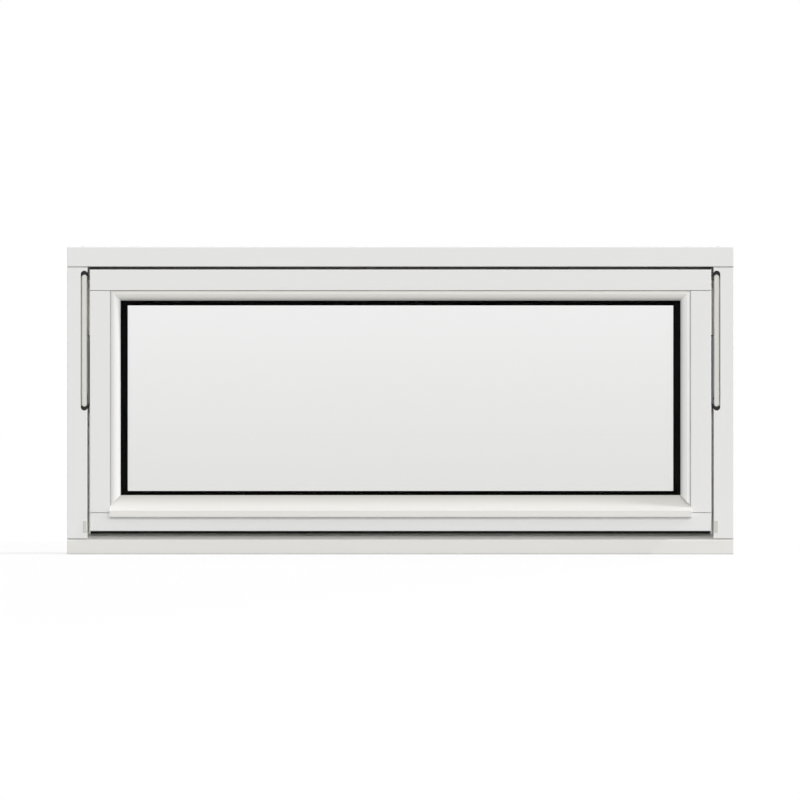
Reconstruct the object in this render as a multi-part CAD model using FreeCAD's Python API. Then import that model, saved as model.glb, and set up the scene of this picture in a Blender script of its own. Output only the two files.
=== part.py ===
import FreeCAD, Part
import os
from FreeCAD import Vector

# Top guided awning window of painted pine, outward opening, closed.
# Millimetres. X runs along the sill, the outside faces -Y, Z is up.
# The origin is the middle of the sill's underside.

# Outer frame
FRAME_WIDTH = 1188.0
FRAME_HEIGHT = 548.0
FRAME_DEPTH = 115.0
HEAD_FACE = 35.4
JAMB_FACE = 36.0
SILL_FACE = 26.0
SILL_RISE = 14.0
STOP_LAP = 13.0
STOP_ROUND = 4.0
FRAME_ROUND = 1.5
SILL_ROUND = 2.0
FRAME_JOINT_WIDTH = 2.2
FRAME_JOINT_DEPTH = 5.0
ROOM_JOINT_WIDTH = 1.0
ROOM_JOINT_DEPTH = 1.2
HEAD_ARRIS = 1.0
JAMB_ARRIS = 1.0
DRIP_KERF_WIDTH = 6.0
DRIP_KERF_DEPTH = 5.0
DRIP_KERF_SETBACK = 10.0

# Clearances between the frame and the sash
SIDE_GAP = 4.2
TOP_GAP = 5.3
SILL_GAP = 3.1
STOP_GAP = 8.5

# Sash
SASH_THICK = 56.0
STILE_FACE = 36.1
TOP_RAIL_FACE = 36.8
BOTTOM_RAIL_FACE = 32.1
SASH_ROUND = 1.5
SASH_JOINT_WIDTH = 1.1
SASH_JOINT_DEPTH = 6.0
INNER_ROUND = 7.0
INNER_QUIRK = 1.6
SASH_KERF_WIDTH = 5.0
SASH_KERF_DEPTH = 4.0
SASH_KERF_SETBACK = 9.0

# Glazing beads and the drip bead under the glass
BEAD_WIDTH = 18.4
BEAD_THICK = 14.0
BEAD_QUIRK = 5.0
BEAD_CREST = 7.0
BEAD_BULGE = 2.0
BEAD_LIP = 3.5
BEAD_MITRE_DROP = 19.5
DRIP_BEAD_HEIGHT = 31.7
DRIP_NOSE = 10.0
DRIP_NOSE_FACE = 12.1
DRIP_NOSE_LAP = 6.6
DRIP_NOSE_END = 0.6
DRIP_NOSE_ROUND = 1.5
DRIP_COVE = 5.0
DRIP_GROOVE = 2.5

# Sealed glazing unit
GLASS_THICK = 4.0
GLASS_CAVITY = 16.0
GLASS_EDGE = 5.0
OUTER_TAPE = 1.0
INNER_TAPE = 2.0
SPACER_SHOW_SIDE = 12.0
SPACER_SHOW_TOP = 8.4
SPACER_SHOW_BOTTOM = 7.3
SETTING_BLOCK_LENGTH = 80.0
SETTING_BLOCK_INSET = 150.0

# Side guides: a stay arm, half as long as the run, holds the sash out while its top slides down
PIVOT_DROP = 14.3
ARM_LENGTH = 110.0
ARM_WIDTH = 16.0
ARM_WAIST = 10.5
ARM_THICK = 2.5
ARM_PIN_RADIUS = 4.0
ARM_PIN_PLAY = 0.1
ARM_COLLAR_RADIUS = 6.5
RAIL_WIDTH = 9.3
RAIL_DEPTH = 18.0
RAIL_INSET = 0.9
RAIL_SETBACK = 3.0
RAIL_ABOVE = 5.3
RAIL_BELOW = 10.0
RAIL_CHAMFER = 1.2
RAIL_LIP = 2.5
RAIL_BACK = 1.8
RAIL_MOUTH = 8.0
RAIL_CHAMBER = 12.4
RAIL_BOSS = 13.0
SLOT_SIDE_CLEAR = 1.75
SLOT_OVERCUT = 0.55
SLOT_END_CLEAR = 7.0
END_CAP_SETBACK = 1.5
END_CAP_LAP = 1.5
SHOE_ABOVE = 4.5
SHOE_BELOW = 24.0
SHOE_PLAY = 0.3
SHOE_PIN_RADIUS = 3.5
SHOE_PIN_PLAY = 0.1
PLATE_THICK = 3.0
PLATE_WIDTH = 18.0
PLATE_ABOVE = 8.0
PLATE_BELOW = 34.0
STAY_PLATE_LENGTH = 46.0

# Guide blocks let into the jambs beside the sash's lower corners
BLOCK_WIDTH = 6.6
BLOCK_HEIGHT = 21.2
BLOCK_DEPTH = 14.0
BLOCK_INSET = 1.2
BLOCK_PROUD = 0.8
BLOCK_CHAMFER = 0.6
BLOCK_RAISE = 12.5
ARRIS_STOP = 35.0

# Weather seals in grooves of the frame
SEAL_WIDTH = 6.0
SEAL_SETBACK = 10.0
SEAL_TOUCH = 0.3
SEAL_ROOT_WIDTH = 3.0
SEAL_ROOT_DEPTH = 4.0

# Handle on the inside of the bottom rail
ROSE_LENGTH = 66.0
ROSE_HEIGHT = 26.0
ROSE_THICK = 9.0
ROSE_CHAMFER = 3.0
NECK_RADIUS = 8.0
NECK_LENGTH = 24.0
LEVER_LENGTH = 112.0
LEVER_HEIGHT = 19.0
LEVER_TIP_HEIGHT = 15.0
LEVER_THICK = 11.0
LEVER_ROUND = 4.0
LEVER_CHAMFER = 2.0

# Screw holes through the jambs
FIXING_RADIUS = 4.0
FIXING_SPACING = 330.0
FIXING_SETBACK = 33.5

# Places that follow from the sizes
HALF_WIDTH = FRAME_WIDTH / 2
FRONT = -FRAME_DEPTH / 2
BACK = FRAME_DEPTH / 2
REVEAL = HALF_WIDTH - JAMB_FACE
SASH_HALF = REVEAL - SIDE_GAP
SOFFIT = FRAME_HEIGHT - HEAD_FACE
SASH_TOP = SOFFIT - TOP_GAP
SASH_BACK = FRONT + SASH_THICK
STOP_FRONT = SASH_BACK + STOP_GAP
SILL_BACK = SILL_FACE + SILL_RISE
SILL_SLOPE = SILL_RISE / (STOP_FRONT - FRONT)
SASH_BOTTOM = SILL_FACE + SILL_SLOPE * SASH_THICK + SILL_GAP
OPENING_HALF = SASH_HALF - STILE_FACE
OPENING_TOP = SASH_TOP - TOP_RAIL_FACE
OPENING_BOTTOM = SASH_BOTTOM + BOTTOM_RAIL_FACE
SIGHT_HALF = OPENING_HALF - BEAD_WIDTH
SIGHT_TOP = OPENING_TOP - BEAD_WIDTH
SIGHT_BOTTOM = OPENING_BOTTOM + DRIP_BEAD_HEIGHT
BEAD_BACK = FRONT + BEAD_THICK
OUTER_PANE_FRONT = BEAD_BACK + OUTER_TAPE
CAVITY_FRONT = OUTER_PANE_FRONT + GLASS_THICK
INNER_PANE_FRONT = CAVITY_FRONT + GLASS_CAVITY
INNER_PANE_BACK = INNER_PANE_FRONT + GLASS_THICK
REBATE_BACK = INNER_PANE_BACK + INNER_TAPE
GLASS_HALF = OPENING_HALF - GLASS_EDGE
GLASS_TOP = OPENING_TOP - GLASS_EDGE
GLASS_BOTTOM = OPENING_BOTTOM + GLASS_EDGE
SHOE_PIN_Z = SASH_TOP - PIVOT_DROP
SASH_PIN_Z = SHOE_PIN_Z - ARM_LENGTH
FRAME_PIN_Z = SASH_PIN_Z - ARM_LENGTH
PIN_Y = FRONT + RAIL_SETBACK + RAIL_DEPTH / 2
RAIL_FACE = REVEAL + RAIL_INSET
RAIL_OUTER = RAIL_FACE + RAIL_WIDTH
RAIL_TOP = SHOE_PIN_Z + RAIL_ABOVE
RAIL_BOTTOM = FRAME_PIN_Z - RAIL_BELOW
RAIL_FRONT = FRONT + RAIL_SETBACK
RAIL_FLOOR = RAIL_FRONT + RAIL_DEPTH
ARM_OUTER = REVEAL - (SIDE_GAP - ARM_THICK) / 2
ARM_INNER = ARM_OUTER - ARM_THICK
SEAL_FRONT = SASH_BACK - SEAL_SETBACK
SEAL_BACK = SEAL_FRONT + SEAL_WIDTH
SEAL_MIDDLE = (SEAL_FRONT + SEAL_BACK) / 2
SEAL_SEAT = SILL_FACE + SILL_SLOPE * (SEAL_FRONT - FRONT)


TOUCH = 0.01


def box(x0, x1, y0, y1, z0, z1):
    return Part.makeBox(x1 - x0, y1 - y0, z1 - z0, Vector(x0, y0, z0))


def extrude(points, along):
    """Prism of a closed outline; a step of two points is an arc through the first to the second."""
    edges = []
    here = points[0]
    for step in points[1:] + points[:1]:
        if isinstance(step, tuple):
            through, there = step
            edges.append(Part.Arc(here, through, there).toShape())
        else:
            there = step
            if there != here:
                edges.append(Part.LineSegment(here, there).toShape())
        here = there
    return Part.Face(Part.Wire(edges)).extrude(along)


def along_x(points, x0, x1):
    """Prism of an outline of (y, z) points, where a pair of points is an arc."""
    return extrude(lift(points, lambda p: Vector(x0, p[0], p[1])), Vector(x1 - x0, 0, 0))


def along_y(points, y0, y1):
    """Prism of an outline of (x, z) points, where a pair of points is an arc."""
    return extrude(lift(points, lambda p: Vector(p[0], y0, p[1])), Vector(0, y1 - y0, 0))


def along_z(points, z0, z1):
    """Prism of an outline of (x, y) points, where a pair of points is an arc."""
    return extrude(lift(points, lambda p: Vector(p[0], p[1], z0)), Vector(0, 0, z1 - z0))


def lift(points, place):
    return [
        (place(p[0]), place(p[1])) if isinstance(p[0], tuple) else place(p)
        for p in points
    ]


def stadium(x0, x1, z0, z1, y0, y1):
    """Upright bar or slot with half round ends, seen from the front."""
    radius = (x1 - x0) / 2
    middle = (x0 + x1) / 2
    outline = [
        (x0, z0 + radius),
        ((middle, z0), (x1, z0 + radius)),
        (x1, z1 - radius),
        ((middle, z1), (x0, z1 - radius)),
    ]
    return along_y(outline, y0, y1)


def pin(radius, x0, x1, y, z):
    return Part.makeCylinder(radius, x1 - x0, Vector(x0, y, z), Vector(1, 0, 0))


def ring(half_out, half_in, bottom_out, bottom_in, top_in, top_out, y0, y1):
    outside = box(-half_out, half_out, y0, y1, bottom_out, top_out)
    return outside.cut(box(-half_in, half_in, y0, y1, bottom_in, top_in))


def opposite(shape):
    """The same piece on the other side of the window."""
    return shape.mirror(Vector(0, 0, 0), Vector(1, 0, 0))


def save(name, shape):
    shape.removeSplitter().exportStep("parts/" + name + ".step")


def save_pair(name, right):
    save(name + "_right", right)
    save(name + "_left", opposite(right))


def rims(shape, *faces):
    """The edges that run round a shape's front or back face, each given by its depth."""
    return [
        edge
        for edge in shape.Edges
        if any(all(abs(v.Point.y - face) < TOUCH for v in edge.Vertexes) for face in faces)
    ]


def frame_blank():
    """The frame's outer shape, which the head, the sill and the jambs keep to."""
    board = box(-HALF_WIDTH, HALF_WIDTH, FRONT, BACK, 0, FRAME_HEIGHT)
    return board.makeFillet(FRAME_ROUND, rims(board, FRONT, BACK))


def frame_head(blank):
    stop = SASH_TOP - STOP_LAP
    outline = [
        (FRONT, FRAME_HEIGHT),
        (FRONT, SOFFIT + HEAD_ARRIS),
        (FRONT + HEAD_ARRIS, SOFFIT),
        (STOP_FRONT, SOFFIT),
        (STOP_FRONT, stop),
        (BACK - STOP_ROUND, stop),
        (BACK, stop + STOP_ROUND),
        (BACK, FRAME_HEIGHT),
    ]
    head = along_x(outline, -HALF_WIDTH, HALF_WIDTH).common(blank)
    return head.cut(seal_groove(-SASH_HALF, SASH_HALF, SOFFIT, SOFFIT + SEAL_ROOT_DEPTH))


def seal_groove(x0, x1, z0, z1):
    half_root = SEAL_ROOT_WIDTH / 2
    return box(x0, x1, SEAL_MIDDLE - half_root, SEAL_MIDDLE + half_root, z0, z1)


def frame_sill(blank):
    stop = SASH_BOTTOM + STOP_LAP
    kerf_front = FRONT + DRIP_KERF_SETBACK
    kerf_back = kerf_front + DRIP_KERF_WIDTH
    round_in = FRONT + SILL_ROUND
    round_top = SILL_FACE + SILL_SLOPE * SILL_ROUND
    outline = [
        (FRONT, 0),
        (FRONT, SILL_FACE - SILL_ROUND),
        ((FRONT + SILL_ROUND * 0.26, SILL_FACE - SILL_ROUND * 0.28), (round_in, round_top)),
        (STOP_FRONT, SILL_BACK),
        (STOP_FRONT, stop),
        (BACK - STOP_ROUND, stop),
        (BACK, stop - STOP_ROUND),
        (BACK, 0),
        (kerf_back, 0),
        (kerf_back, DRIP_KERF_DEPTH),
        (kerf_front, DRIP_KERF_DEPTH),
        (kerf_front, 0),
    ]
    sill = along_x(outline, -HALF_WIDTH, HALF_WIDTH).common(blank)
    return sill.cut(seal_groove(-SASH_HALF, SASH_HALF, SEAL_SEAT - SEAL_ROOT_DEPTH, SILL_BACK))


def slot_cut():
    """Round ended slot beside the sash gap, where the guide rail lies."""
    return stadium(
        REVEAL - SLOT_OVERCUT,
        RAIL_OUTER + SLOT_SIDE_CLEAR,
        RAIL_BOTTOM - SLOT_END_CLEAR,
        RAIL_TOP + SLOT_END_CLEAR,
        FRONT,
        RAIL_FLOOR,
    )


def guide_block(proud):
    foot = SILL_FACE + BLOCK_RAISE
    inner = REVEAL + BLOCK_INSET
    return box(inner, inner + BLOCK_WIDTH, FRONT - proud, FRONT + BLOCK_DEPTH, foot, foot + BLOCK_HEIGHT)


def chamfered_block():
    block = guide_block(BLOCK_PROUD)
    return block.makeChamfer(BLOCK_CHAMFER, rims(block, FRONT - BLOCK_PROUD))


def fixing_heights():
    middle = FRAME_HEIGHT / 2
    return [middle - FIXING_SPACING / 2, middle + FIXING_SPACING / 2]


def frame_jamb(blank, head, sill):
    stop = SASH_HALF - STOP_LAP
    outline = [
        (HALF_WIDTH, FRONT),
        (REVEAL, FRONT),
        (REVEAL, STOP_FRONT),
        (stop, STOP_FRONT),
        (stop, BACK - STOP_ROUND),
        (stop + STOP_ROUND, BACK),
        (HALF_WIDTH, BACK),
    ]
    jamb = along_z(outline, SILL_FACE, SOFFIT).common(blank).cut(head).cut(sill)
    for low in (SILL_FACE, SOFFIT - FRAME_JOINT_WIDTH):
        high = low + FRAME_JOINT_WIDTH
        jamb = jamb.cut(box(REVEAL, HALF_WIDTH, FRONT, FRONT + FRAME_JOINT_DEPTH, low, high))
    sill_joint = SASH_BOTTOM + STOP_LAP - STOP_ROUND
    head_joint = SASH_TOP - STOP_LAP + STOP_ROUND
    for low in (sill_joint, head_joint - ROOM_JOINT_WIDTH):
        high = low + ROOM_JOINT_WIDTH
        jamb = jamb.cut(box(stop, HALF_WIDTH, BACK - ROOM_JOINT_DEPTH, BACK, low, high))
    arris = [(REVEAL, FRONT), (REVEAL + JAMB_ARRIS, FRONT), (REVEAL, FRONT + JAMB_ARRIS)]
    jamb = jamb.cut(along_z(arris, SILL_FACE + ARRIS_STOP, SOFFIT))
    jamb = jamb.cut(seal_groove(REVEAL, REVEAL + SEAL_ROOT_DEPTH, SILL_FACE, SOFFIT))
    jamb = jamb.cut(slot_cut()).cut(guide_block(0))
    for height in fixing_heights():
        jamb = jamb.cut(pin(FIXING_RADIUS, REVEAL, HALF_WIDTH, FRONT + FIXING_SETBACK, height))
    return jamb


def seal_strip(root, lip):
    """Outline of a seal on (across, out) axes: a root in its groove and a bulb as high as the lip."""
    half_root = SEAL_ROOT_WIDTH / 2
    half = SEAL_WIDTH / 2
    shoulder = lip - half
    return [
        (-half_root, -root),
        (-half_root, 0),
        (-half, 0),
        (-half, shoulder),
        ((0, lip), (half, shoulder)),
        (half, 0),
        (half_root, 0),
        (half_root, -root),
    ]


def turned(outline, place):
    return [
        (place(*p[0]), place(*p[1])) if isinstance(p[0], tuple) else place(*p)
        for p in outline
    ]


def weather_seal_head():
    outline = turned(
        seal_strip(SEAL_ROOT_DEPTH, TOP_GAP - SEAL_TOUCH),
        lambda across, out: (SEAL_MIDDLE + across, SOFFIT - out),
    )
    return along_x(outline, -SASH_HALF, SASH_HALF)


def weather_seal_jamb(sill):
    outline = turned(
        seal_strip(SEAL_ROOT_DEPTH, SIDE_GAP - SEAL_TOUCH),
        lambda across, out: (REVEAL - out, SEAL_MIDDLE + across),
    )
    return along_z(outline, SILL_FACE, SOFFIT).cut(sill)


def weather_seal_sill(sill):
    """Seal that stands in the sill's slope under the sash."""
    outline = turned(
        seal_strip(SEAL_ROOT_DEPTH, SASH_BOTTOM - SEAL_TOUCH - SEAL_SEAT),
        lambda across, out: (SEAL_MIDDLE + across, SEAL_SEAT + out),
    )
    return along_x(outline, -SASH_HALF, SASH_HALF).cut(sill)


def rail_blank():
    return stadium(RAIL_FACE, RAIL_OUTER, RAIL_BOTTOM, RAIL_TOP, RAIL_FRONT, RAIL_FLOOR)


def rail_end_caps():
    """Two plugs that close the slot beyond the rail's ends."""
    plugs = []
    for z0, z1 in [
        (RAIL_BOTTOM - SLOT_END_CLEAR, RAIL_BOTTOM + END_CAP_LAP),
        (SHOE_PIN_Z + SHOE_PIN_RADIUS + SHOE_PLAY, RAIL_TOP + SLOT_END_CLEAR),
    ]:
        reach = box(REVEAL, HALF_WIDTH, RAIL_FRONT + END_CAP_SETBACK, RAIL_FLOOR, z0, z1)
        plugs.append(slot_cut().common(reach).cut(rail_blank()))
    return Part.Compound(plugs)


def guide_rail():
    """Channel with milled round ends; the arm's frame pin stands on its solid lower end."""
    rail = rail_blank()
    rail = rail.makeChamfer(RAIL_CHAMFER, rims(rail, RAIL_FRONT))
    run_end = FRAME_PIN_Z + RAIL_BOSS
    lip = RAIL_FACE + RAIL_LIP
    mouth = box(RAIL_FACE, lip, PIN_Y - RAIL_MOUTH / 2, PIN_Y + RAIL_MOUTH / 2, run_end, RAIL_TOP)
    half_chamber = RAIL_CHAMBER / 2
    chamber = box(lip, RAIL_OUTER - RAIL_BACK, PIN_Y - half_chamber, PIN_Y + half_chamber, run_end, RAIL_TOP)
    stud = pin(ARM_PIN_RADIUS, ARM_INNER, RAIL_FACE, PIN_Y, FRAME_PIN_Z)
    return rail.cut(mouth).cut(chamber).fuse(stud)


def stay_arm():
    """Waisted arm that turns on the rail's stud, its collar on the rail, and on the sash's stud."""
    half = ARM_WIDTH / 2
    waist = ARM_WAIST / 2
    middle = (FRAME_PIN_Z + SASH_PIN_Z) / 2
    outline = [
        (PIN_Y - half, FRAME_PIN_Z),
        ((PIN_Y, FRAME_PIN_Z - half), (PIN_Y + half, FRAME_PIN_Z)),
        ((PIN_Y + waist, middle), (PIN_Y + half, SASH_PIN_Z)),
        ((PIN_Y, SASH_PIN_Z + half), (PIN_Y - half, SASH_PIN_Z)),
        ((PIN_Y - waist, middle), (PIN_Y - half, FRAME_PIN_Z)),
    ]
    arm = along_x(outline, ARM_INNER, ARM_OUTER)
    arm = arm.fuse(pin(ARM_COLLAR_RADIUS, ARM_OUTER, RAIL_FACE, PIN_Y, FRAME_PIN_Z))
    for height in (FRAME_PIN_Z, SASH_PIN_Z):
        arm = arm.cut(pin(ARM_PIN_RADIUS + ARM_PIN_PLAY, ARM_INNER, RAIL_FACE, PIN_Y, height))
    return arm


def slide_shoe():
    """Sliding block in the rail's chamber, its neck in the mouth, and the pin that carries the sash."""
    low = SHOE_PIN_Z - SHOE_BELOW
    high = SHOE_PIN_Z + SHOE_ABOVE
    lip = RAIL_FACE + RAIL_LIP + SHOE_PLAY
    half_body = RAIL_CHAMBER / 2 - SHOE_PLAY
    half_neck = RAIL_MOUTH / 2 - SHOE_PLAY
    body = box(lip, RAIL_OUTER - RAIL_BACK - SHOE_PLAY, PIN_Y - half_body, PIN_Y + half_body, low, high)
    neck = box(RAIL_FACE, lip, PIN_Y - half_neck, PIN_Y + half_neck, low, high)
    inside = stadium(RAIL_FACE, RAIL_OUTER, RAIL_BOTTOM, RAIL_TOP - SHOE_PLAY, RAIL_FRONT, RAIL_FLOOR)
    stem = pin(SHOE_PIN_RADIUS, SASH_HALF - PLATE_THICK, lip, PIN_Y, SHOE_PIN_Z)
    return body.fuse(neck).common(inside).fuse(stem)


def pivot_plate():
    """Bearing plate let into the stile's edge, for the shoe's pin."""
    half = PLATE_WIDTH / 2
    plate = box(
        SASH_HALF - PLATE_THICK,
        SASH_HALF,
        PIN_Y - half,
        PIN_Y + half,
        SHOE_PIN_Z - PLATE_BELOW,
        SHOE_PIN_Z + PLATE_ABOVE,
    )
    bore = pin(SHOE_PIN_RADIUS + SHOE_PIN_PLAY, SASH_HALF - PLATE_THICK, SASH_HALF, PIN_Y, SHOE_PIN_Z)
    return plate.cut(bore)


def stay_plate_blank():
    half = PLATE_WIDTH / 2
    reach = STAY_PLATE_LENGTH / 2
    return box(
        SASH_HALF - PLATE_THICK, SASH_HALF, PIN_Y - half, PIN_Y + half, SASH_PIN_Z - reach, SASH_PIN_Z + reach
    )


def stay_plate():
    """Plate let into the stile's edge, with the collar and pin that the arm turns on."""
    collar = pin(ARM_COLLAR_RADIUS, SASH_HALF, ARM_INNER, PIN_Y, SASH_PIN_Z)
    stud = pin(ARM_PIN_RADIUS, SASH_HALF, ARM_OUTER, PIN_Y, SASH_PIN_Z)
    return stay_plate_blank().fuse(collar).fuse(stud)


def sash_blank():
    """The closed sash as one board with eased outer edges, which each rail and stile keeps to."""
    board = box(-SASH_HALF, SASH_HALF, FRONT, SASH_BACK, SASH_BOTTOM, SASH_TOP)
    return board.makeFillet(SASH_ROUND, rims(board, FRONT, SASH_BACK))


def inner_moulding(sight, way):
    """Quarter round and quirk on the room side, as (depth, across) points from the sight line."""
    start = SASH_BACK - INNER_QUIRK - INNER_ROUND
    through = (start + INNER_ROUND * 0.7071, sight + way * INNER_ROUND * 0.2929)
    quirk = SASH_BACK - INNER_QUIRK
    edge = sight + way * INNER_ROUND
    return [(start, sight), (through, (quirk, edge)), (SASH_BACK, edge)]


def sash_top_rail(blank):
    outline = [
        (FRONT, SASH_TOP),
        (FRONT, OPENING_TOP),
        (REBATE_BACK, OPENING_TOP),
        (REBATE_BACK, SIGHT_TOP),
        *inner_moulding(SIGHT_TOP, 1),
        (SASH_BACK, SASH_TOP),
    ]
    return along_x(outline, -SASH_HALF, SASH_HALF).common(blank)


def sash_bottom_rail(blank):
    kerf_front = FRONT + SASH_KERF_SETBACK
    kerf_back = kerf_front + SASH_KERF_WIDTH
    outline = [
        (FRONT, SASH_BOTTOM),
        (FRONT, OPENING_BOTTOM),
        (REBATE_BACK, OPENING_BOTTOM),
        (REBATE_BACK, SIGHT_BOTTOM),
        *inner_moulding(SIGHT_BOTTOM, -1),
        (SASH_BACK, SASH_BOTTOM),
        (kerf_back, SASH_BOTTOM),
        (kerf_back, SASH_BOTTOM + SASH_KERF_DEPTH),
        (kerf_front, SASH_BOTTOM + SASH_KERF_DEPTH),
        (kerf_front, SASH_BOTTOM),
    ]
    return along_x(outline, -SASH_HALF, SASH_HALF).common(blank)


def sash_stile(blank, top_rail, bottom_rail):
    outline = [
        (SASH_HALF, FRONT),
        (OPENING_HALF, FRONT),
        (OPENING_HALF, REBATE_BACK),
        (SIGHT_HALF, REBATE_BACK),
        *turned(inner_moulding(SIGHT_HALF, 1), lambda depth, across: (across, depth)),
        (SASH_HALF, SASH_BACK),
    ]
    stile = along_z(outline, OPENING_BOTTOM, OPENING_TOP).common(blank)
    stile = stile.cut(top_rail).cut(bottom_rail)
    for low in (OPENING_BOTTOM, OPENING_TOP - SASH_JOINT_WIDTH):
        high = low + SASH_JOINT_WIDTH
        stile = stile.cut(box(OPENING_HALF, SASH_HALF, FRONT, FRONT + SASH_JOINT_DEPTH, low, high))
    for low in (SIGHT_BOTTOM - INNER_ROUND, SIGHT_TOP + INNER_ROUND - ROOM_JOINT_WIDTH):
        high = low + ROOM_JOINT_WIDTH
        stile = stile.cut(box(SIGHT_HALF, SASH_HALF, SASH_BACK - ROOM_JOINT_DEPTH, SASH_BACK, low, high))
    return stile


def bead_outline():
    """Ovolo bead on (across, depth) axes, from a quirk at the rebate's wall to the glass."""
    drop = BEAD_THICK - BEAD_LIP
    belly = ((BEAD_CREST + BEAD_WIDTH) / 2 + BEAD_BULGE, drop / 2 - BEAD_BULGE)
    return [
        (0, BEAD_THICK),
        (0, BEAD_QUIRK),
        ((BEAD_CREST * 0.32, BEAD_QUIRK * 0.32), (BEAD_CREST, 0)),
        (belly, (BEAD_WIDTH, drop)),
        (BEAD_WIDTH, BEAD_THICK),
    ]


def glazing_bead_top():
    outline = turned(bead_outline(), lambda across, depth: (FRONT + depth, OPENING_TOP - across))
    mitred = [
        (-OPENING_HALF, OPENING_TOP),
        (OPENING_HALF, OPENING_TOP),
        (SIGHT_HALF, SIGHT_TOP),
        (-SIGHT_HALF, SIGHT_TOP),
    ]
    return along_x(outline, -OPENING_HALF, OPENING_HALF).common(along_y(mitred, FRONT, BEAD_BACK))


def glazing_bead_side():
    """Side bead, mitred to the top bead and to the drip bead."""
    outline = turned(bead_outline(), lambda across, depth: (OPENING_HALF - across, FRONT + depth))
    mitred = [
        (OPENING_HALF, OPENING_TOP),
        (OPENING_HALF, SIGHT_BOTTOM - BEAD_MITRE_DROP),
        (SIGHT_HALF, SIGHT_BOTTOM),
        (SIGHT_HALF, SIGHT_TOP),
    ]
    return along_z(outline, OPENING_BOTTOM, OPENING_TOP).common(along_y(mitred, FRONT, BEAD_BACK))


def drip_bead():
    """Bead under the glass: a cove that sheds water off a nose in front of the bottom rail."""
    nose = FRONT - DRIP_NOSE
    nose_foot = OPENING_BOTTOM - DRIP_NOSE_LAP
    crest = nose_foot + DRIP_NOSE_FACE
    lip = BEAD_BACK - BEAD_LIP
    brink = nose + DRIP_NOSE_ROUND
    cove = ((lip + brink) / 2 + DRIP_COVE * 0.77, (SIGHT_BOTTOM + crest) / 2 - DRIP_COVE * 0.63)
    turn = (nose + DRIP_NOSE_ROUND * 0.35, crest - DRIP_NOSE_ROUND * 0.25)
    groove_front = nose + DRIP_GROOVE
    groove_back = groove_front + DRIP_GROOVE
    outline = [
        (BEAD_BACK, OPENING_BOTTOM),
        (BEAD_BACK, SIGHT_BOTTOM),
        (lip, SIGHT_BOTTOM),
        (cove, (brink, crest)),
        (turn, (nose, crest - DRIP_NOSE_ROUND)),
        (nose, nose_foot),
        (groove_front, nose_foot),
        (groove_front, nose_foot + DRIP_GROOVE),
        (groove_back, nose_foot + DRIP_GROOVE),
        (groove_back, nose_foot),
        (FRONT, nose_foot),
        (FRONT, OPENING_BOTTOM),
    ]
    half = OPENING_HALF + DRIP_NOSE_END
    bead = along_x(outline, -half, half)
    beyond = box(OPENING_HALF, half, FRONT, BEAD_BACK, OPENING_BOTTOM, SIGHT_BOTTOM)
    mitre = [
        (SIGHT_HALF, SIGHT_BOTTOM),
        (OPENING_HALF, SIGHT_BOTTOM),
        (OPENING_HALF, SIGHT_BOTTOM - BEAD_MITRE_DROP),
    ]
    beyond = beyond.fuse(along_y(mitre, FRONT, BEAD_BACK))
    return bead.cut(beyond).cut(opposite(beyond))


def pane(front):
    return box(-GLASS_HALF, GLASS_HALF, front, front + GLASS_THICK, GLASS_BOTTOM, GLASS_TOP)


def spacer_bar():
    return ring(
        GLASS_HALF,
        SIGHT_HALF - SPACER_SHOW_SIDE,
        GLASS_BOTTOM,
        SIGHT_BOTTOM + SPACER_SHOW_BOTTOM,
        SIGHT_TOP - SPACER_SHOW_TOP,
        GLASS_TOP,
        CAVITY_FRONT,
        INNER_PANE_FRONT,
    )


def glazing_tape(front, thick):
    return ring(
        GLASS_HALF, SIGHT_HALF, GLASS_BOTTOM, SIGHT_BOTTOM, SIGHT_TOP, GLASS_TOP, front, front + thick
    )


def setting_blocks():
    """Two packers that carry the glazing unit on the bottom rail."""
    middle = GLASS_HALF - SETTING_BLOCK_INSET
    half = SETTING_BLOCK_LENGTH / 2
    right = box(
        middle - half, middle + half, OUTER_PANE_FRONT, INNER_PANE_BACK, OPENING_BOTTOM, GLASS_BOTTOM
    )
    return Part.Compound([right, opposite(right)])


def handle_height():
    return (SASH_BOTTOM + STOP_LAP + SIGHT_BOTTOM - INNER_ROUND) / 2


def handle_rose():
    half = ROSE_LENGTH / 2
    radius = ROSE_HEIGHT / 2
    middle = handle_height()
    outline = [
        (radius - half, middle + radius),
        ((-half, middle), (radius - half, middle - radius)),
        (half - radius, middle - radius),
        ((half, middle), (half - radius, middle + radius)),
    ]
    rose = along_y(outline, SASH_BACK, SASH_BACK + ROSE_THICK)
    return rose.makeChamfer(ROSE_CHAMFER, rims(rose, SASH_BACK + ROSE_THICK))


def handle_lever():
    """Neck out of the rose and a rounded, tapered bar that lies along the rail when locked."""
    middle = handle_height()
    rose_back = SASH_BACK + ROSE_THICK
    neck = Part.makeCylinder(NECK_RADIUS, NECK_LENGTH, Vector(0, rose_back, middle), Vector(0, 1, 0))
    bar_front = rose_back + NECK_LENGTH - LEVER_THICK
    radius = LEVER_HEIGHT / 2
    tip = LEVER_TIP_HEIGHT / 2
    outline = [
        (0, middle + radius),
        ((-radius, middle), (0, middle - radius)),
        (LEVER_LENGTH - tip, middle - tip),
        ((LEVER_LENGTH, middle), (LEVER_LENGTH - tip, middle + tip)),
    ]
    bar = along_y(outline, bar_front, bar_front + LEVER_THICK)
    bar = bar.makeFillet(LEVER_ROUND, rims(bar, bar_front + LEVER_THICK))
    return bar.makeChamfer(LEVER_CHAMFER, rims(bar, bar_front)).fuse(neck)


os.makedirs("parts", exist_ok=True)

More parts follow.
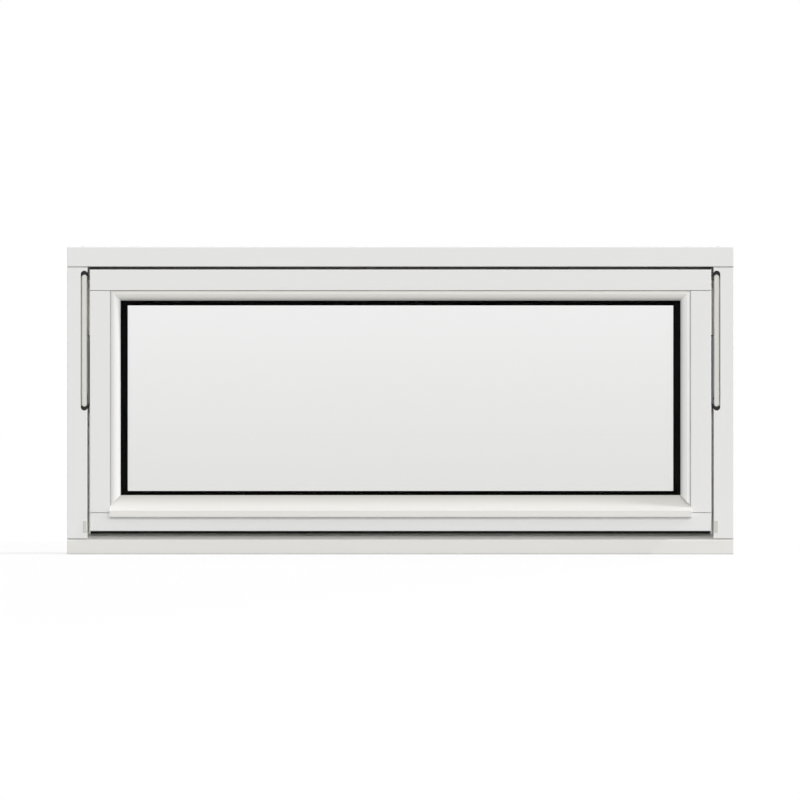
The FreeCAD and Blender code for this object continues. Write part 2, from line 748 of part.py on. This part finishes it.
shell = frame_blank()
head = frame_head(shell)
sill = frame_sill(shell)
save("frame_head", head)
save("frame_sill", sill)
save_pair("frame_jamb", frame_jamb(shell, head, sill))
save_pair("guide_rail", guide_rail())
save_pair("rail_end_caps", rail_end_caps())
save_pair("guide_block", chamfered_block())
save("weather_seal_head", weather_seal_head())
save("weather_seal_sill", weather_seal_sill(sill))
save_pair("weather_seal", weather_seal_jamb(sill))

save_pair("stay_arm", stay_arm())
save_pair("slide_shoe", slide_shoe())

blank = sash_blank()
top_rail = sash_top_rail(blank)
bottom_rail = sash_bottom_rail(blank)
stile = sash_stile(blank, top_rail, bottom_rail)
plate_pocket = box(
    SASH_HALF - PLATE_THICK,
    SASH_HALF,
    PIN_Y - PLATE_WIDTH / 2,
    PIN_Y + PLATE_WIDTH / 2,
    SHOE_PIN_Z - PLATE_BELOW,
    SHOE_PIN_Z + PLATE_ABOVE,
)
save("sash_top_rail", top_rail.cut(plate_pocket).cut(opposite(plate_pocket)))
save("sash_bottom_rail", bottom_rail)
save_pair("sash_stile", stile.cut(plate_pocket).cut(stay_plate_blank()))
save_pair("pivot_plate", pivot_plate())
save_pair("stay_plate", stay_plate())

save("drip_bead", drip_bead())
save("glazing_bead_top", glazing_bead_top())
save_pair("glazing_bead", glazing_bead_side())
save("outer_pane", pane(OUTER_PANE_FRONT))
save("inner_pane", pane(INNER_PANE_FRONT))
save("spacer_bar", spacer_bar())
save("glazing_tape_outer", glazing_tape(BEAD_BACK, OUTER_TAPE))
save("glazing_tape_inner", glazing_tape(INNER_PANE_BACK, INNER_TAPE))
save("setting_blocks", setting_blocks())
save("handle_rose", handle_rose())
save("handle_lever", handle_lever())
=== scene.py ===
import math

import bpy
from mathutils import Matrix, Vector


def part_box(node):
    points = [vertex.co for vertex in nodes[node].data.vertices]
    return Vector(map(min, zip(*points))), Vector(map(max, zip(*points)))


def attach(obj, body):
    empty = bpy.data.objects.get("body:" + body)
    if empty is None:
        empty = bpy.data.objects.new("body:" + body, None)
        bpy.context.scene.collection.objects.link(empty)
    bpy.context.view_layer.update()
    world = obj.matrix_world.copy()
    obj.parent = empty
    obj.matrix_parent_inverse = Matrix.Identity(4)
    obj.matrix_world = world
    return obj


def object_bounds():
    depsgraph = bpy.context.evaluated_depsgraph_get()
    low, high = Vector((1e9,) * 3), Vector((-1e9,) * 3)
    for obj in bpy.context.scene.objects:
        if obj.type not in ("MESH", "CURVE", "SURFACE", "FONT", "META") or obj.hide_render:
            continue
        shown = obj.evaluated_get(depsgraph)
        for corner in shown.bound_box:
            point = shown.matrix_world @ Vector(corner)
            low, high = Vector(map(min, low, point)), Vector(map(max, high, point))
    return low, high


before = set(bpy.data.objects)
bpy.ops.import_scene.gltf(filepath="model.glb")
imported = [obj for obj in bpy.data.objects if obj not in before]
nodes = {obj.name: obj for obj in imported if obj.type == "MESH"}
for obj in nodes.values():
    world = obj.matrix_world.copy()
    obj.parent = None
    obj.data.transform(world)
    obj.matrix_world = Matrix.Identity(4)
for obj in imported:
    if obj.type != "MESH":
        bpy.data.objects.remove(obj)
cad_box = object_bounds()

# Outer frame: head, sill and two jambs of finger jointed pine, planed to a rebated section, glued and
# screwed at the corners. The factory sprays it white, so the eye gets a smooth satin coat with a faint
# orange peel, and a trace of the grain that runs along each length. The sill's coat is a painted shade:
# the same paint, given a warmer and darker tone as it looks in shade.
MM = 0.001
ALONG_X, ALONG_Z = 0, 2
PAINT_LIGHT = "E8E8E7"
PAINT_DEEP = "E3E3E1"
# Sill tones: painted shade, the frame's paint made warmer and darker as it looks in shade.
SILL_SHADED_LIGHT = "E6E5E1"
SILL_SHADED_DEEP = "E1E0DC"
PAINT_GLOSSY = 0.40
PAINT_DULL = 0.52
PAINT_IOR = 1.48
GRAIN_WIDTH = 3.0
GRAIN_LENGTH = 140.0
GRAIN_RELIEF = 0.06
PEEL_SIZE = 2.2
PEEL_RELIEF = 0.03
PATCH_SIZE = 180.0

# Sockets of a colour mix by their numbers: the share, the colour at 0, the colour at 1, and the result.
MIX_SHARE, MIX_FROM, MIX_TO = 0, 6, 7
MIXED = 2


def linear(hex_colour):
    """An sRGB hex colour as the linear RGBA that shaders take."""
    channels = [int(hex_colour[i:i + 2], 16) / 255 for i in (0, 2, 4)]
    return [c / 12.92 if c <= 0.04045 else ((c + 0.055) / 1.055) ** 2.4 for c in channels] + [1.0]


def add_node(tree, kind, values=None, sources=None, **settings):
    """A shader node with its settings, socket values and links."""
    node = tree.nodes.new("ShaderNode" + kind)
    for name, value in settings.items():
        setattr(node, name, value)
    for socket, value in (values or {}).items():
        node.inputs[socket].default_value = value
    for socket, source in (sources or {}).items():
        tree.links.new(source, node.inputs[socket])
    return node


def new_material(name):
    """A new material, its node tree and its surface shader."""
    material = bpy.data.materials.new(name)
    material.use_nodes = True
    tree = material.node_tree
    return material, tree, tree.nodes["Principled BSDF"]


def dress(names, material):
    """Gives CAD nodes their finish."""
    for name in names:
        for slot in nodes[name].material_slots:
            slot.material = material


def painted_pine(name, grain_axis, light, deep):
    """Sprayed satin paint on pine whose grain runs along one axis."""
    material, tree, shader = new_material(name)
    where = add_node(tree, "TexCoord")
    grain_scale = [1 / (GRAIN_WIDTH * MM)] * 3
    grain_scale[grain_axis] = 1 / (GRAIN_LENGTH * MM)
    along = add_node(tree, "Mapping", {"Scale": grain_scale}, {"Vector": where.outputs["Object"]})
    grain = add_node(tree, "TexNoise", {"Scale": 1.0, "Detail": 4.0, "Roughness": 0.6},
                     {"Vector": along.outputs["Vector"]})
    patch = add_node(tree, "TexNoise", {"Scale": 1 / (PATCH_SIZE * MM), "Detail": 2.0},
                     {"Vector": where.outputs["Object"]})
    peel = add_node(tree, "TexNoise", {"Scale": 1 / (PEEL_SIZE * MM), "Detail": 1.0},
                    {"Vector": where.outputs["Object"]})
    shade = add_node(tree, "MixRGB", {"Fac": 0.5},
                     {"Color1": grain.outputs["Fac"], "Color2": patch.outputs["Fac"]})
    colour = add_node(tree, "Mix", {MIX_FROM: linear(deep), MIX_TO: linear(light)},
                      {MIX_SHARE: shade.outputs["Color"]}, data_type="RGBA")
    gloss = add_node(tree, "MapRange", {"To Min": PAINT_GLOSSY, "To Max": PAINT_DULL},
                     {"Value": patch.outputs["Fac"]})
    relief = add_node(tree, "Bump", {"Strength": 0.25, "Distance": GRAIN_RELIEF * MM},
                      {"Height": grain.outputs["Fac"]})
    skin = add_node(tree, "Bump", {"Strength": 0.2, "Distance": PEEL_RELIEF * MM},
                    {"Height": peel.outputs["Fac"], "Normal": relief.outputs["Normal"]})
    tree.links.new(colour.outputs[MIXED], shader.inputs["Base Color"])
    tree.links.new(gloss.outputs["Result"], shader.inputs["Roughness"])
    tree.links.new(skin.outputs["Normal"], shader.inputs["Normal"])
    shader.inputs["IOR"].default_value = PAINT_IOR
    return material


pine_lengthwise = painted_pine("sprayed_pine_lengthwise", ALONG_X, PAINT_LIGHT, PAINT_DEEP)
pine_upright = painted_pine("sprayed_pine_upright", ALONG_Z, PAINT_LIGHT, PAINT_DEEP)
# Painted shade: the sill takes the frame's paint in its shaded, warmer tone.
pine_sill = painted_pine("sprayed_pine_sill_painted_shade", ALONG_X, SILL_SHADED_LIGHT, SILL_SHADED_DEEP)
dress(["frame_head"], pine_lengthwise)
dress(["frame_sill"], pine_sill)
dress(["frame_jamb_left", "frame_jamb_right"], pine_upright)

# Weather seals: bulb strips of extruded rubber, pushed by their roots into grooves round the frame's rebate:
# white at the sides, grey under the head and black on the sill. These tones are real seal colours, chosen
# by place as painted light and shade: the white and grey seals lift the shade in the side and head gaps,
# and the black one deepens the gap over the sill. Matt, slightly uneven where they were drawn.
EPDM_BLACK = "171717"
EPDM_SHEEN = "262626"
EPDM_GREY = "B8B8B3"
EPDM_ASH = "C2C2BD"
TPE_PALE = "EAEAE4"
TPE_WHITE = "F2F2EC"
RUBBER_SATIN = 0.62
RUBBER_MATT = 0.8
RUBBER_IOR = 1.5
DRAW_MARK = 14.0


def rubber(name, dark, pale):
    """Matt extruded rubber with soft draw marks."""
    material, tree, shader = new_material(name)
    where = add_node(tree, "TexCoord")
    marks = add_node(tree, "TexNoise", {"Scale": 1 / (DRAW_MARK * MM), "Detail": 3.0},
                     {"Vector": where.outputs["Object"]})
    colour = add_node(tree, "Mix", {MIX_FROM: linear(dark), MIX_TO: linear(pale)},
                      {MIX_SHARE: marks.outputs["Fac"]}, data_type="RGBA")
    gloss = add_node(tree, "MapRange", {"To Min": RUBBER_SATIN, "To Max": RUBBER_MATT},
                     {"Value": marks.outputs["Fac"]})
    tree.links.new(colour.outputs[MIXED], shader.inputs["Base Color"])
    tree.links.new(gloss.outputs["Result"], shader.inputs["Roughness"])
    shader.inputs["IOR"].default_value = RUBBER_IOR
    return material


# Painted light and shade: each seal's tone sets how light its gap reads.
dress(["weather_seal_sill"], rubber("black_epdm", EPDM_BLACK, EPDM_SHEEN))
dress(["weather_seal_head"], rubber("grey_epdm", EPDM_GREY, EPDM_ASH))
dress(["weather_seal_left", "weather_seal_right"], rubber("white_tpe", TPE_PALE, TPE_WHITE))

# Guide rails: channels of drawn aluminium with milled round ends, anodised satin and set in a routed slot
# in each jamb. Draw lines run up the rail, and the anodising leaves it pale and soft. Real draw lines are
# finer than 0.2 mm, and these are drawn at 0.8 mm so that they show.
RAIL_LIGHT = "E2E1DB"
RAIL_DEEP = "D8D7D1"
DRAW_LINE = 0.8
DRAW_RUN = 90.0
DRAW_RELIEF = 0.02
DRAW_SPREAD = 0.06


def drawn_metal(name, light, deep, run_axis, metallic, roughness):
    """Metal with fine lines along one axis, from drawing, rolling or brushing."""
    material, tree, shader = new_material(name)
    where = add_node(tree, "TexCoord")
    line_scale = [1 / (DRAW_LINE * MM)] * 3
    line_scale[run_axis] = 1 / (DRAW_RUN * MM)
    along = add_node(tree, "Mapping", {"Scale": line_scale}, {"Vector": where.outputs["Object"]})
    lines = add_node(tree, "TexNoise", {"Scale": 1.0, "Detail": 3.0}, {"Vector": along.outputs["Vector"]})
    colour = add_node(tree, "Mix", {MIX_FROM: linear(deep), MIX_TO: linear(light)},
                      {MIX_SHARE: lines.outputs["Fac"]}, data_type="RGBA")
    gloss = add_node(tree, "MapRange", {"To Min": roughness - DRAW_SPREAD, "To Max": roughness + DRAW_SPREAD},
                     {"Value": lines.outputs["Fac"]})
    relief = add_node(tree, "Bump", {"Strength": 0.2, "Distance": DRAW_RELIEF * MM},
                      {"Height": lines.outputs["Fac"]})
    tree.links.new(colour.outputs[MIXED], shader.inputs["Base Color"])
    tree.links.new(gloss.outputs["Result"], shader.inputs["Roughness"])
    tree.links.new(relief.outputs["Normal"], shader.inputs["Normal"])
    shader.inputs["Metallic"].default_value = metallic
    return material


anodised_rail = drawn_metal("anodised_aluminium_rail", RAIL_LIGHT, RAIL_DEEP, ALONG_Z,
                            metallic=0.1, roughness=0.5)
dress(["guide_rail_left", "guide_rail_right"], anodised_rail)

# Slide shoes: blocks of acetal that run in the rails and carry the sash on a moulded-in pin. A dense,
# slightly waxy plastic with the spark-eroded grain of its tool, painted dark grey all over in place of
# its black as painted light, lifting the deep shade in the gap where it runs. Such a grain is about
# 0.1 mm, and it is drawn at 0.9 mm so that it shows.
SHOE_LIFTED_DARK = "4A4A44"
SHOE_LIFTED_PALE = "585851"
MOULD_GRAIN = 0.9
MOULD_RELIEF = 0.03
PLASTIC_IOR = 1.48


def moulded_plastic(name, dark, pale, roughness):
    """Moulded plastic with the fine grain of its tool."""
    material, tree, shader = new_material(name)
    where = add_node(tree, "TexCoord")
    grain = add_node(tree, "TexNoise", {"Scale": 1 / (MOULD_GRAIN * MM), "Detail": 2.0},
                     {"Vector": where.outputs["Object"]})
    colour = add_node(tree, "Mix", {MIX_FROM: linear(dark), MIX_TO: linear(pale)},
                      {MIX_SHARE: grain.outputs["Fac"]}, data_type="RGBA")
    relief = add_node(tree, "Bump", {"Strength": 0.25, "Distance": MOULD_RELIEF * MM},
                      {"Height": grain.outputs["Fac"]})
    tree.links.new(colour.outputs[MIXED], shader.inputs["Base Color"])
    tree.links.new(relief.outputs["Normal"], shader.inputs["Normal"])
    shader.inputs["Roughness"].default_value = roughness
    shader.inputs["IOR"].default_value = PLASTIC_IOR
    return material


# Painted light: the shoes' acetal is a dark grey in place of black, to lift their shade.
acetal_painted_light = moulded_plastic("acetal_painted_light", SHOE_LIFTED_DARK, SHOE_LIFTED_PALE, roughness=0.42)
dress(["slide_shoe_left", "slide_shoe_right"], acetal_painted_light)

# End caps: plugs of the same acetal, black as it comes from the tool, that close each slot above and below
# its rail. They are moulded to the slot's round ends and pressed in.
ACETAL_DARK = "0B0B0A"
ACETAL_PALE = "151514"
black_acetal = moulded_plastic("black_acetal", ACETAL_DARK, ACETAL_PALE, roughness=0.42)
dress(["rail_end_caps_left", "rail_end_caps_right"], black_acetal)

# Stay arms: stamped steel strips with a pin hole at each end, zinc plated and passivated to a dull dark
# grey, with faint rolling lines along the arm.
PASSIVATED_LIGHT = "6A6B6C"
PASSIVATED_DEEP = "5C5D5E"
passivated_steel = drawn_metal("black_passivated_steel", PASSIVATED_LIGHT, PASSIVATED_DEEP, ALONG_Z,
                               metallic=0.6, roughness=0.42)
dress(["stay_arm_left", "stay_arm_right"], passivated_steel)

# Let-in plates: stamped steel plates in the sash's edges that carry the pins, zinc plated and left bright.
# A cool grey with a soft metal shine.
ZINC_LIGHT = "8E8F90"
ZINC_DEEP = "7A7B7C"
zinc_plated_steel = drawn_metal("zinc_plated_steel", ZINC_LIGHT, ZINC_DEEP, ALONG_Z,
                                metallic=1.0, roughness=0.38)
dress(["stay_plate_left", "stay_plate_right", "pivot_plate_left", "pivot_plate_right"], zinc_plated_steel)

# Corner screws: long zinc plated wood screws driven down through the head into the end grain of each jamb,
# two to a corner. Only their low oval heads show, each with a pressed cross recess. The dome and the recess
# are given as shares of the head's radius and rise.
CORNER_SCREW_RADIUS = 5.0
CORNER_SCREW_RISE = 0.9
CORNER_SCREW_SPREAD = 0.5
SCREW_DOME = [(1.0, -0.3), (1.0, 0.15), (0.93, 0.45), (0.82, 0.75), (0.68, 0.94), (0.58, 1.0)]
RECESS_WIDTH = 0.12
RECESS_LENGTH = 0.5
RECESS_DEPTH = 0.8
RECESS_TAPER = 0.65
RECESS_ARMS = 4
ARM_CORNERS = 3
RECESS_CORNERS = RECESS_ARMS * ARM_CORNERS
CORNER_STEPS = 2
RIM_STEPS = RECESS_CORNERS * CORNER_STEPS
RIM_START = -math.pi / 4
SMOOTH_BELOW = 35.0
UPWARD = (0, 0, 1)


def turned(seat, outward, profile):
    """Rings of points about an axis, given as radius and height, with quads between them."""
    axis = Vector(outward)
    side = axis.orthogonal().normalized()
    turn = axis.cross(side)
    points, faces = [], []
    for radius, height in profile:
        for step in range(RIM_STEPS):
            angle = math.tau * step / RIM_STEPS + RIM_START
            across = side * (radius * math.cos(angle)) + turn * (radius * math.sin(angle))
            points.append(seat + across + axis * height)
    for lower in range(0, RIM_STEPS * (len(profile) - 1), RIM_STEPS):
        upper = lower + RIM_STEPS
        for step in range(RIM_STEPS):
            after = (step + 1) % RIM_STEPS
            faces.append((lower + step, lower + after, upper + after, upper + step))
    return points, faces


def add_piece(name, points, faces, material):
    """A small piece that rides with the window."""
    mesh = bpy.data.meshes.new(name)
    mesh.from_pydata(points, [], faces)
    mesh.shade_smooth()
    mesh.set_sharp_from_angle(angle=math.radians(SMOOTH_BELOW))
    mesh.materials.append(material)
    piece = bpy.data.objects.new(name, mesh)
    bpy.context.scene.collection.objects.link(piece)
    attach(piece, "root")


def add_screw(name, seat, outward, radius, rise, material):
    """An oval screw head with a cross recess, standing on a face."""
    seat = Vector(seat)
    axis = Vector(outward)
    side = axis.orthogonal().normalized()
    turn = axis.cross(side)
    points, faces = turned(seat, outward, [(radius * share, rise * lift) for share, lift in SCREW_DOME])
    land = len(points) - RIM_STEPS
    mouth = len(points)
    pit = mouth + RECESS_CORNERS
    for shrink, height in ((1.0, rise), (RECESS_TAPER, rise * (1 - RECESS_DEPTH))):
        half = radius * RECESS_WIDTH * shrink
        reach = radius * RECESS_LENGTH * shrink
        along, cross = side, turn
        for arm in range(RECESS_ARMS):
            for u, v in ((half, -half), (reach, -half), (reach, half)):
                points.append(seat + along * u + cross * v + axis * height)
            along, cross = cross, -along
    for corner in range(RECESS_CORNERS):
        after = (corner + 1) % RECESS_CORNERS
        rim = [land + (CORNER_STEPS * corner + step) % RIM_STEPS for step in range(CORNER_STEPS + 1)]
        faces.append((mouth + corner, *rim, mouth + after))
        faces.append((mouth + corner, mouth + after, pit + after, pit + corner))
    for corner in range(0, RECESS_CORNERS, ARM_CORNERS):
        faces.append([pit + (corner + step) % RECESS_CORNERS for step in range(ARM_CORNERS + 1)])
    faces.append([pit + corner for corner in range(0, RECESS_CORNERS, ARM_CORNERS)])
    faces.append(list(reversed(range(RIM_STEPS))))
    add_piece(name, points, faces, material)


head_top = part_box("frame_head")[1].z
for hand in ("left", "right"):
    jamb_low, jamb_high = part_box("frame_jamb_" + hand)
    jamb_middle = (jamb_low + jamb_high) / 2
    for place, shift in (("front", -CORNER_SCREW_SPREAD), ("back", CORNER_SCREW_SPREAD)):
        screw_y = jamb_middle.y + shift * (jamb_high.y - jamb_low.y) / 2
        add_screw("corner_screw_" + hand + "_" + place, (jamb_middle.x, screw_y, head_top), UPWARD,
                  CORNER_SCREW_RADIUS * MM, CORNER_SCREW_RISE * MM, zinc_plated_steel)

# Guide blocks: small blocks of grey nylon pressed into mortises low in the jambs, which centre the sash
# as it closes. Moulded, matt, a shade darker than the paint.
NYLON_DARK = "C6C6BE"
NYLON_PALE = "D0D0C8"
grey_nylon = moulded_plastic("grey_nylon", NYLON_DARK, NYLON_PALE, roughness=0.55)
dress(["guide_block_left", "guide_block_right"], grey_nylon)

# Sash: top and bottom rails run through and the stiles are tenoned between them, of the same sprayed pine,
# with rounded outer edges and a glazing rebate on the outside.
dress(["sash_top_rail", "sash_bottom_rail"], pine_lengthwise)
dress(["sash_stile_left", "sash_stile_right"], pine_upright)

# Sealed glazing unit: two float glass panes on a black warm edge spacer, bedded on black tape and stood on
# plastic setting blocks. The glass is clear with a trace of grey, and its tint carries a painted reflection
# of the sky: light at the top, fading greyer towards the sill. It bends light less than the usual 1.52, so
# that the black border stays deep.
GLASS_SKY_TOP = "F7F7F7"
GLASS_SKY_FOOT = "EFEFEE"
GLASS_IOR = 1.15
SPACER_DARK = "040404"
SPACER_PALE = "0B0B0B"


def float_glass(name, low, high):
    """Clear glass whose tint paints a sky reflection, from one colour at its foot to another at its top."""
    material, tree, shader = new_material(name)
    where = add_node(tree, "TexCoord")
    # Painted reflection: the tint runs from the foot colour up to the top colour.
    height = add_node(tree, "SeparateXYZ", None, {"Vector": where.outputs["Generated"]})
    colour = add_node(tree, "Mix", {MIX_FROM: linear(low), MIX_TO: linear(high)},
                      {MIX_SHARE: height.outputs["Z"]}, data_type="RGBA")
    tree.links.new(colour.outputs[MIXED], shader.inputs["Base Color"])
    shader.inputs["Transmission Weight"].default_value = 1.0
    shader.inputs["Roughness"].default_value = 0.0
    shader.inputs["IOR"].default_value = GLASS_IOR
    return material


dress(["outer_pane", "inner_pane"], float_glass("float_glass", GLASS_SKY_FOOT, GLASS_SKY_TOP))
warm_edge_spacer = moulded_plastic("warm_edge_spacer", SPACER_DARK, SPACER_PALE, roughness=0.6)
dress(["spacer_bar"], warm_edge_spacer)
dress(["glazing_tape_outer", "glazing_tape_inner"], rubber("glazing_tape", SPACER_DARK, SPACER_PALE))
block_plastic = moulded_plastic("setting_block_plastic", ACETAL_DARK, ACETAL_PALE, roughness=0.6)
dress(["setting_blocks"], block_plastic)

# Glazing beads and drip bead: moulded pine strips that hold the glass from outside, mitred at all four
# corners. The drip bead's nose throws rain clear of the bottom rail. Its coat carries painted shade, grey
# next to the glass and fading to white on the crest of the cove, over the sill's shaded tone.
# The top bead's tones are painted shade: greyer than the side beads, for its downward face.
TOP_BEAD_SHADE_LIGHT = "DFDED9"
TOP_BEAD_SHADE_DEEP = "D9D8D3"
COVE_SHADE_GREY = "C4C4BE"
COVE_FOOT = 0.32
dress(["glazing_bead_top"], painted_pine("sprayed_pine_top_bead_shaded", ALONG_X, TOP_BEAD_SHADE_LIGHT, TOP_BEAD_SHADE_DEEP))
dress(["glazing_bead_left", "glazing_bead_right"], pine_upright)
pine_drip = painted_pine("sprayed_pine_drip_painted_shade", ALONG_X, SILL_SHADED_LIGHT, SILL_SHADED_DEEP)
drip_tree = pine_drip.node_tree
drip_colour = drip_tree.nodes["Principled BSDF"].inputs["Base Color"]
drip_where = add_node(drip_tree, "TexCoord")
drip_height = add_node(drip_tree, "SeparateXYZ", None, {"Vector": drip_where.outputs["Generated"]})
# Painted shade: above the cove's foot the coat greys towards the glass.
cove_shade_rise = add_node(drip_tree, "MapRange", {"From Min": COVE_FOOT}, {"Value": drip_height.outputs["Z"]})
cove_painted_shade = add_node(drip_tree, "Mix", {MIX_TO: linear(COVE_SHADE_GREY)},
                     {MIX_SHARE: cove_shade_rise.outputs["Result"], MIX_FROM: drip_colour.links[0].from_socket},
                     data_type="RGBA")
drip_tree.links.new(cove_painted_shade.outputs[MIXED], drip_colour)
dress(["drip_bead"], pine_drip)

# Handle: a cast aluminium rose and lever on the inside of the bottom rail, satin anodised and finely brushed
# along the lever. Two oval headed screws hold the rose, and a thin acetal bush carries the lever's neck.
# The bush is given as radius and height above the rose, in mm.
HANDLE_LIGHT = "C6C7C8"
HANDLE_DEEP = "B2B3B5"
ROSE_SCREW_RADIUS = 4.2
ROSE_SCREW_RISE = 1.4
BUSH_PROFILE = [(10.6, -0.3), (10.6, 1.0), (10.2, 1.5), (8.6, 1.5), (8.2, 1.1), (8.2, -0.3)]
INWARD = (0, 1, 0)
satin_aluminium = drawn_metal("satin_aluminium_handle", HANDLE_LIGHT, HANDLE_DEEP, ALONG_X,
                              metallic=1.0, roughness=0.36)
dress(["handle_rose", "handle_lever"], satin_aluminium)
rose_low, rose_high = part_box("handle_rose")
rose_face = Vector(((rose_low.x + rose_high.x) / 2, rose_high.y, (rose_low.z + rose_high.z) / 2))
screw_reach = (rose_high.x - rose_low.x) / 2 - (rose_high.z - rose_low.z) / 2
for hand, shift in (("left", -screw_reach), ("right", screw_reach)):
    add_screw("rose_screw_" + hand, rose_face + Vector((shift, 0, 0)), INWARD,
              ROSE_SCREW_RADIUS * MM, ROSE_SCREW_RISE * MM, satin_aluminium)
bush_rings = [(radius * MM, height * MM) for radius, height in BUSH_PROFILE]
bush_points, bush_faces = turned(rose_face, INWARD, bush_rings)
add_piece("neck_bush", bush_points, bush_faces, black_acetal)

# Studio: a wide pale floor under an even white surround, which the camera, the glass and the metal see as
# plain white. A high and a level lamp on the right shade the beads, two in front throw the nose's short
# shadow, a low one reaches into the gaps, and a weak one lights the room side.
FLOOR_SIZE = 80.0
FLOOR_DROP = 0.2 * MM
FLOOR_GLOW = 0.715
FLOOR_SEEN = 0.26
FLOOR_BOUNCE = 0.4
SURROUND_SEEN = 1.0
SURROUND_LIGHT = 0.535
FIRST_BOUNCE = 0.5


def seen_directly(tree):
    """1 where the eye meets the white surround, also in mirrors and glass, and 0 for the light it gives."""
    path = add_node(tree, "LightPath")
    mirror = add_node(tree, "Math", None,
                      {0: path.outputs["Is Camera Ray"], 1: path.outputs["Is Glossy Ray"]},
                      operation="MAXIMUM")
    sight = add_node(tree, "Math", None, {0: mirror.outputs[0], 1: path.outputs["Is Transmission Ray"]},
                     operation="MAXIMUM")
    clear = add_node(tree, "Math", {1: FIRST_BOUNCE}, {0: path.outputs["Diffuse Depth"]},
                     operation="LESS_THAN")
    return add_node(tree, "Math", None, {0: sight.outputs[0], 1: clear.outputs[0]}, operation="MULTIPLY")


world = bpy.data.worlds.new("studio")
bpy.context.scene.world = world
world.use_nodes = True
sky = world.node_tree
sky_seen = seen_directly(sky)
sky_level = add_node(sky, "MapRange", {"To Min": SURROUND_LIGHT, "To Max": SURROUND_SEEN},
                     {"Value": sky_seen.outputs[0]})
sky.links.new(sky_level.outputs["Result"], sky.nodes["Background"].inputs["Strength"])
sky.nodes["Background"].inputs["Color"].default_value = linear("FFFFFF")

floor_mesh = bpy.data.meshes.new("floor")
floor_reach = FLOOR_SIZE / 2
floor_corners = [(-floor_reach, -floor_reach, -FLOOR_DROP), (floor_reach, -floor_reach, -FLOOR_DROP),
                 (floor_reach, floor_reach, -FLOOR_DROP), (-floor_reach, floor_reach, -FLOOR_DROP)]
floor_mesh.from_pydata(floor_corners, [], [(0, 1, 2, 3)])
floor = bpy.data.objects.new("floor", floor_mesh)
bpy.context.scene.collection.objects.link(floor)

floor_paint, ground, stock_shader = new_material("pale_floor")
ground.nodes.remove(stock_shader)
ground_seen = seen_directly(ground)
tone = add_node(ground, "MapRange", {"To Min": FLOOR_BOUNCE, "To Max": FLOOR_SEEN},
                {"Value": ground_seen.outputs[0]})
glow = add_node(ground, "Math", {1: FLOOR_GLOW}, {0: ground_seen.outputs[0]}, operation="MULTIPLY")
matt = add_node(ground, "BsdfDiffuse", None, {"Color": tone.outputs["Result"]})
light = add_node(ground, "Emission", None, {"Strength": glow.outputs[0]})
both = add_node(ground, "AddShader", None, {0: matt.outputs["BSDF"], 1: light.outputs["Emission"]})
ground.links.new(both.outputs["Shader"], ground.nodes["Material Output"].inputs["Surface"])
floor_mesh.materials.append(floor_paint)


def lamp(name, direction, level, softness):
    """A broad far lamp that no surface mirrors; a level of 1 shows a facing surface in its own colour."""
    data = bpy.data.lights.new(name, "SUN")
    data.energy = level * math.pi
    data.angle = math.radians(softness)
    holder = bpy.data.objects.new(name, data)
    holder.rotation_mode = "QUATERNION"
    holder.rotation_quaternion = Vector(direction).to_track_quat("Z", "Y")
    holder.visible_glossy = False
    bpy.context.scene.collection.objects.link(holder)


lamp("key_lamp", direction=(0.43, -0.03, 0.40), level=0.55, softness=4.0)
lamp("side_lamp", direction=(1.0, -0.16, 0.05), level=0.13, softness=4.0)
lamp("front_lamp", direction=(0.38, -0.80, 0.46), level=0.15, softness=5.0)
lamp("fill_lamp", direction=(0.0, -1.0, 0.38), level=0.235, softness=4.0)
lamp("gap_lamp", direction=(0.0, -1.0, 0.07), level=0.10, softness=3.0)
lamp("room_lamp", direction=(0.25, 1.0, 0.12), level=0.30, softness=5.0)

# Camera: square to the outside face on a long lens, so the window shows almost without perspective, as in
# the drawing. The photograph's frame is 800 pixels wide, and the window's edges are given in its pixels.
PHOTO_WIDTH = 800
WINDOW_LEFT = 67.2
WINDOW_RIGHT = 733.8
WINDOW_TOP = 246.7
WINDOW_BOTTOM = 554.2
LENS = 300.0
SENSOR = 36.0
low, high = cad_box
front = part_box("frame_head")[0].y
metres_per_pixel = (high.x - low.x) / (WINDOW_RIGHT - WINDOW_LEFT)
distance = metres_per_pixel * PHOTO_WIDTH * LENS / SENSOR
off_right = (WINDOW_LEFT + WINDOW_RIGHT - PHOTO_WIDTH) / 2 * metres_per_pixel
off_down = (WINDOW_TOP + WINDOW_BOTTOM - PHOTO_WIDTH) / 2 * metres_per_pixel
camera_data = bpy.data.cameras.new("camera")
camera_data.lens = LENS
camera_data.sensor_width = SENSOR
camera_data.clip_end = FLOOR_SIZE
camera = bpy.data.objects.new("camera", camera_data)
camera.location = ((low.x + high.x) / 2 - off_right, front - distance, (low.z + high.z) / 2 + off_down)
camera.rotation_euler = (math.pi / 2, 0, 0)
bpy.context.scene.collection.objects.link(camera)
bpy.context.scene.camera = camera
bpy.context.scene.view_settings.view_transform = "Standard"
